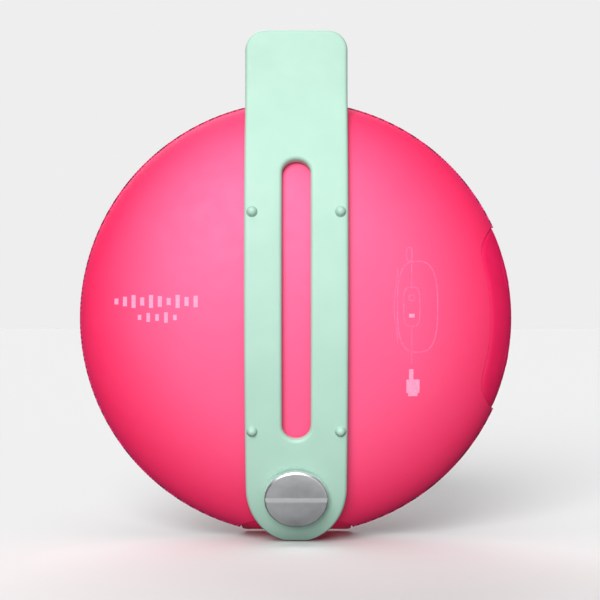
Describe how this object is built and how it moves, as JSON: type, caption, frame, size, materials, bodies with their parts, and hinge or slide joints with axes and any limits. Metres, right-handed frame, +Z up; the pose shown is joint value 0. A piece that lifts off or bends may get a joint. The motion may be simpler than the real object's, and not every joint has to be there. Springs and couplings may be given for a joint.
{
  "type": "round shower speaker",
  "caption": "Round splash-proof speaker with a soft-touch domed back, fabric front, side and front keys, and a slotted silicone strap held by a coin-slot stud.",
  "frame": {"origin": "on the surface it stands on, under the middle of the body's depth and width", "axes": "+Z up along the strap, -Y out of the fabric front, +Y out of the domed back, the side keys at -X"},
  "size_m": [0.1212, 0.0502, 0.1415],
  "materials": {
    "soft_touch_shell": "soft-touch paint over moulded plastic",
    "front_fabric": "two-tone woven acoustic fabric",
    "strap_silicone": "matt moulded silicone",
    "panel_rubber": "matt moulded rubber",
    "foot_rubber": "matt moulded rubber",
    "volume_keys": "matt moulded rubber",
    "stud_metal": "turned and lightly brushed",
    "inner_plastic": "moulded, fine spark texture",
    "seal_rubber": "soft moulded",
    "magnet_ferrite": "ground ferrite",
    "zinc_steel": "zinc plated",
    "coil_copper": "enamelled copper wire on a former",
    "cone_paper": "pressed cone",
    "radiator_metal": "anodised weight and plate",
    "brass_insert": "knurled",
    "board_green": "solder-masked glass-fibre board",
    "switch_black": "moulded",
    "tinned_steel": "tin plated sheet",
    "cell_sleeve": "shrink sleeve",
    "lead_black": "insulated lead"
  },
  "bodies": {
    "case": {"rear_shell": "soft_touch_shell", "grille_fabric": "front_fabric", "front_grille": "inner_plastic", "hem_ring": "inner_plastic", "baffle": "inner_plastic", "baffle_seal": "seal_rubber", "driver_gasket": "seal_rubber", "basket": "zinc_steel", "top_plate": "zinc_steel", "magnet": "magnet_ferrite", "yoke": "zinc_steel", "spider": "front_fabric", "surround": "seal_rubber", "side_panel": "panel_rubber", "side_switches": "switch_black", "side_board": "board_green", "volume_up_board": "board_green", "volume_down_board": "board_green", "front_switches": "switch_black", "foot_pad": "foot_rubber", "usb_socket": "tinned_steel", "port_board": "board_green", "strap_lug": "strap_silicone", "lug_bushing": "stud_metal", "stud_insert": "brass_insert", "battery_cell": "cell_sleeve", "battery_cradle": "inner_plastic", "main_board": "board_green", "shield_can": "tinned_steel", "housing_screws": "zinc_steel", "driver_screws": "zinc_steel", "board_screws": "zinc_steel", "speaker_lead": "lead_black", "battery_lead": "lead_black", "upper_radiator_frame": "inner_plastic", "upper_radiator_surround": "seal_rubber", "lower_radiator_frame": "inner_plastic", "lower_radiator_surround": "seal_rubber"},
    "strap": {"strap_blade": "strap_silicone"},
    "stud": {"strap_stud": "stud_metal"},
    "power_key": {"power_button": "panel_rubber"},
    "play_key": {"play_button": "panel_rubber"},
    "volume_up_key": {"volume_up_button": "volume_keys"},
    "volume_down_key": {"volume_down_button": "volume_keys"},
    "port_flap": {"port_door": "foot_rubber"},
    "voice_cone": {"cone": "cone_paper", "voice_coil": "coil_copper", "dust_cap": "cone_paper"},
    "upper_radiator": {"upper_radiator_plate": "radiator_metal"},
    "lower_radiator": {"lower_radiator_plate": "radiator_metal"}
  },
  "joints": [
    {"name": "strap_flex", "type": "hinge", "parent": "case", "child": "strap", "pos_m": [0, 0.0207, 0.02575], "axis": [-1, 0, 0], "range_deg": [0, 90], "stiffness_Nm_per_rad": 0.02},
    {"name": "stud_turn", "type": "hinge", "parent": "case", "child": "stud", "pos_m": [0, 0.01652, 0.0139], "axis": [0, 0.9106, -0.4132], "continuous": true},
    {"name": "power_press", "type": "slide", "parent": "case", "child": "power_key", "axis": [1, 0, 0], "range_m": [0, 0.0005], "stiffness_N_per_m": 2000},
    {"name": "play_press", "type": "slide", "parent": "case", "child": "play_key", "axis": [1, 0, 0], "range_m": [0, 0.0005], "stiffness_N_per_m": 2000},
    {"name": "volume_up_press", "type": "slide", "parent": "case", "child": "volume_up_key", "axis": [0, 1, 0], "range_m": [0, 0.0006], "stiffness_N_per_m": 2000},
    {"name": "volume_down_press", "type": "slide", "parent": "case", "child": "volume_down_key", "axis": [0, 1, 0], "range_m": [0, 0.0006], "stiffness_N_per_m": 2000},
    {"name": "port_door_swing", "type": "hinge", "parent": "case", "child": "port_flap", "pos_m": [0, -0.006, 0.00187], "axis": [-1, 0, 0], "range_deg": [0, 85]},
    {"name": "cone_travel", "type": "slide", "parent": "case", "child": "voice_cone", "axis": [0, 1, 0], "range_m": [-0.0015, 0.0015], "stiffness_N_per_m": 1200, "deforming": ["surround", "spider"]},
    {"name": "upper_radiator_travel", "type": "slide", "parent": "case", "child": "upper_radiator", "axis": [0, 1, 0], "range_m": [-0.0025, 0.0025], "stiffness_N_per_m": 900, "deforming": ["upper_radiator_surround"]},
    {"name": "lower_radiator_travel", "type": "slide", "parent": "case", "child": "lower_radiator", "axis": [0, 1, 0], "range_m": [-0.0025, 0.0025], "stiffness_N_per_m": 900, "deforming": ["lower_radiator_surround"]}
  ]
}
